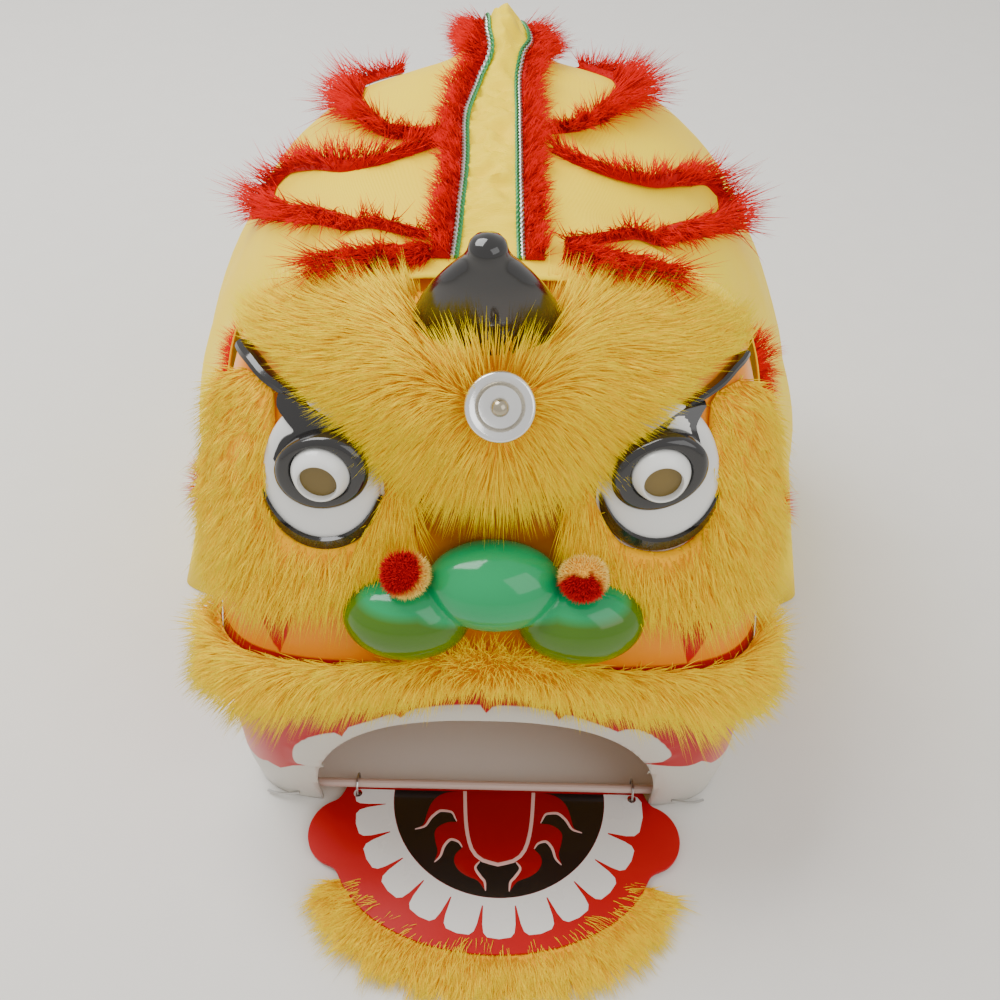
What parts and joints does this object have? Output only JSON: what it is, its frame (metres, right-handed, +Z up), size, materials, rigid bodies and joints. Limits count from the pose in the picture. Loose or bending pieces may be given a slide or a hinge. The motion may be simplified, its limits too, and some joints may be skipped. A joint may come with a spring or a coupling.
{
  "type": "lion dance head",
  "caption": "Child's lion dance head: moulded mask under faux fur, satin hood, horn, mirror, open mouth and a hinged jaw board.",
  "frame": {"origin": "middle of the footprint, at the height of the surface that the head stands on", "axes": "+Z up, the face looks towards -Y, +X to the right in the view of the face"},
  "size_m": [0.4684, 0.5794, 0.383],
  "materials": {
    "orange_plastic": "moulded and painted",
    "yellow_satin": "satin weave",
    "yellow_fur": "long pile faux fur",
    "red_fur": "long pile faux fur",
    "green_plastic": "glossy lacquer",
    "black_plastic": "glossy",
    "white_plastic": "satin",
    "silver": "plated",
    "pompom_wool": "wool pile",
    "green_braid": "metallic thread",
    "pale_rod": "satin",
    "wire": "drawn",
    "red_board": "printed board with a satin film"
  },
  "bodies": {
    "head": {"face_shell": "orange_plastic", "hood": "yellow_satin", "brow_fur": "yellow_fur", "cheek_fur_left": "yellow_fur", "cheek_fur_right": "yellow_fur", "moustache_fur": "yellow_fur", "nose": "green_plastic", "nose_pompom_left": "pompom_wool", "nose_pompom_right": "pompom_wool", "eye_white_left": "white_plastic", "eye_white_right": "white_plastic", "eye_lid_left": "black_plastic", "eye_lid_right": "black_plastic", "eye_cup_left": "white_plastic", "eye_cup_right": "white_plastic", "brow_strip_left": "black_plastic", "brow_strip_right": "black_plastic", "forehead_mirror": "silver", "mirror_bead": "silver", "horn": "black_plastic", "braid_left": "green_braid", "braid_right": "green_braid", "crest_fur_left": "red_fur", "crest_fur_right": "red_fur", "leaf_fur_left_back": "red_fur", "leaf_fur_left_middle": "red_fur", "leaf_fur_left_front": "red_fur", "leaf_fur_right_back": "red_fur", "leaf_fur_right_middle": "red_fur", "leaf_fur_right_front": "red_fur", "side_tuft_left_upper": "red_fur", "side_tuft_left_lower": "red_fur", "side_patch_right": "red_fur", "side_pompom_right": "red_fur", "mouth_rod": "pale_rod", "rod_tie_left": "wire", "rod_tie_right": "wire"},
    "jaw": {"jaw_plate": "red_board", "jaw_ring_left": "wire", "jaw_ring_right": "wire", "jaw_beard": "yellow_fur"}
  },
  "joints": [
    {"name": "jaw_hinge", "type": "hinge", "parent": "head", "child": "jaw", "pos_m": [0, -0.14746, 0.0115], "axis": [-1, 0, 0], "range_deg": [0, 60]}
  ]
}
